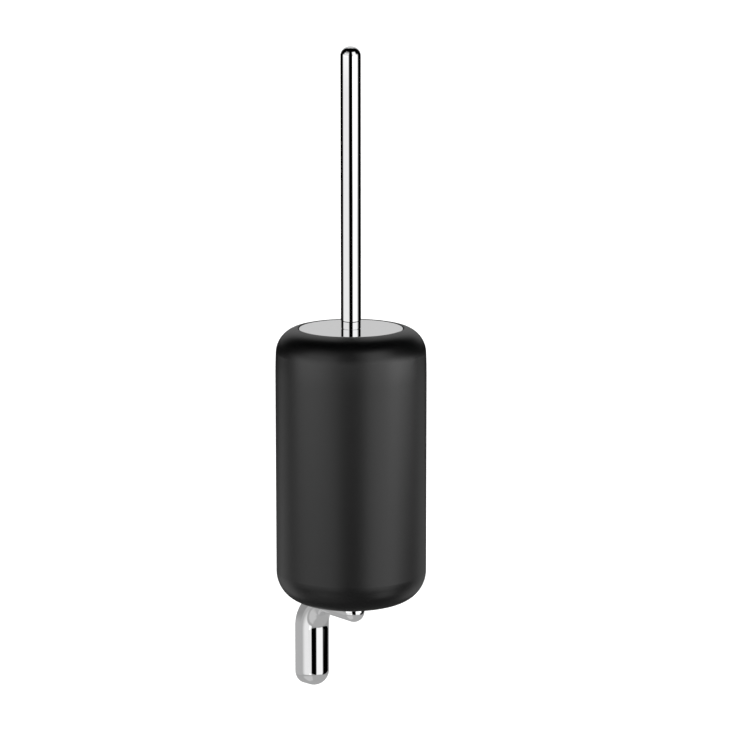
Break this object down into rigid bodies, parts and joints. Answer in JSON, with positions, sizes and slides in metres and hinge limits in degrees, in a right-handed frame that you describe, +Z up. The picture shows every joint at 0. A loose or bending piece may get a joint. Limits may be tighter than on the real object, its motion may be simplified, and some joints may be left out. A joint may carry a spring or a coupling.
{
  "type": "toilet brush holder",
  "caption": "Wall-mounted toilet brush holder: black jar with rounded edges on a chromed arm, with a lift-out brush whose rod handle carries a flush round lid.",
  "frame": {"origin": "on the wall face, midway between the two wall screw holes", "axes": "+Z up, +Y into the wall, +X to the right of someone facing the wall"},
  "size_m": [0.0902, 0.0986, 0.3988],
  "materials": {
    "black_powder_coat": "satin black powder coat, finely textured",
    "chrome": "polished chrome plate",
    "zinc_steel": "zinc-plated steel",
    "black_steel": "blackened steel",
    "stainless": "drawn stainless steel",
    "brass": "turned brass",
    "black_plastic": "moulded black plastic",
    "liner_plastic": "moulded dark grey plastic",
    "black_rubber": "black rubber",
    "seal_silicone": "soft black silicone",
    "bristle_nylon": "black nylon bristles in tufts"
  },
  "bodies": {
    "holder": {"wall_bracket": "chrome", "fixing_plate": "zinc_steel", "grub_screw": "black_steel", "seat_gasket": "black_rubber", "jar": "black_powder_coat", "neck_ring": "black_plastic", "inner_gasket": "black_rubber", "clamp_washer": "zinc_steel", "jar_screw": "zinc_steel"},
    "liner": {"liner": "liner_plastic"},
    "seal": {"seal_ring": "seal_silicone"},
    "brush": {"lid": "chrome", "handle_tube": "chrome", "handle_plug": "brass", "stem": "stainless", "lid_washer": "zinc_steel", "spring_washer": "black_steel", "lock_nut": "zinc_steel", "brush_hub": "black_plastic", "side_bristles": "bristle_nylon", "tip_bristles": "bristle_nylon"}
  },
  "joints": [
    {"name": "liner_lift", "type": "slide", "parent": "holder", "child": "liner", "axis": [0, 0, 1], "range_m": [0, 0.16]},
    {"name": "brush_lift", "type": "slide", "parent": "liner", "child": "seal", "axis": [0, 0, 1], "range_m": [0, 0.16]},
    {"name": "brush_spin", "type": "hinge", "parent": "seal", "child": "brush", "pos_m": [0, -0.0535, 0.2108], "axis": [0, 0, 1], "continuous": true}
  ]
}
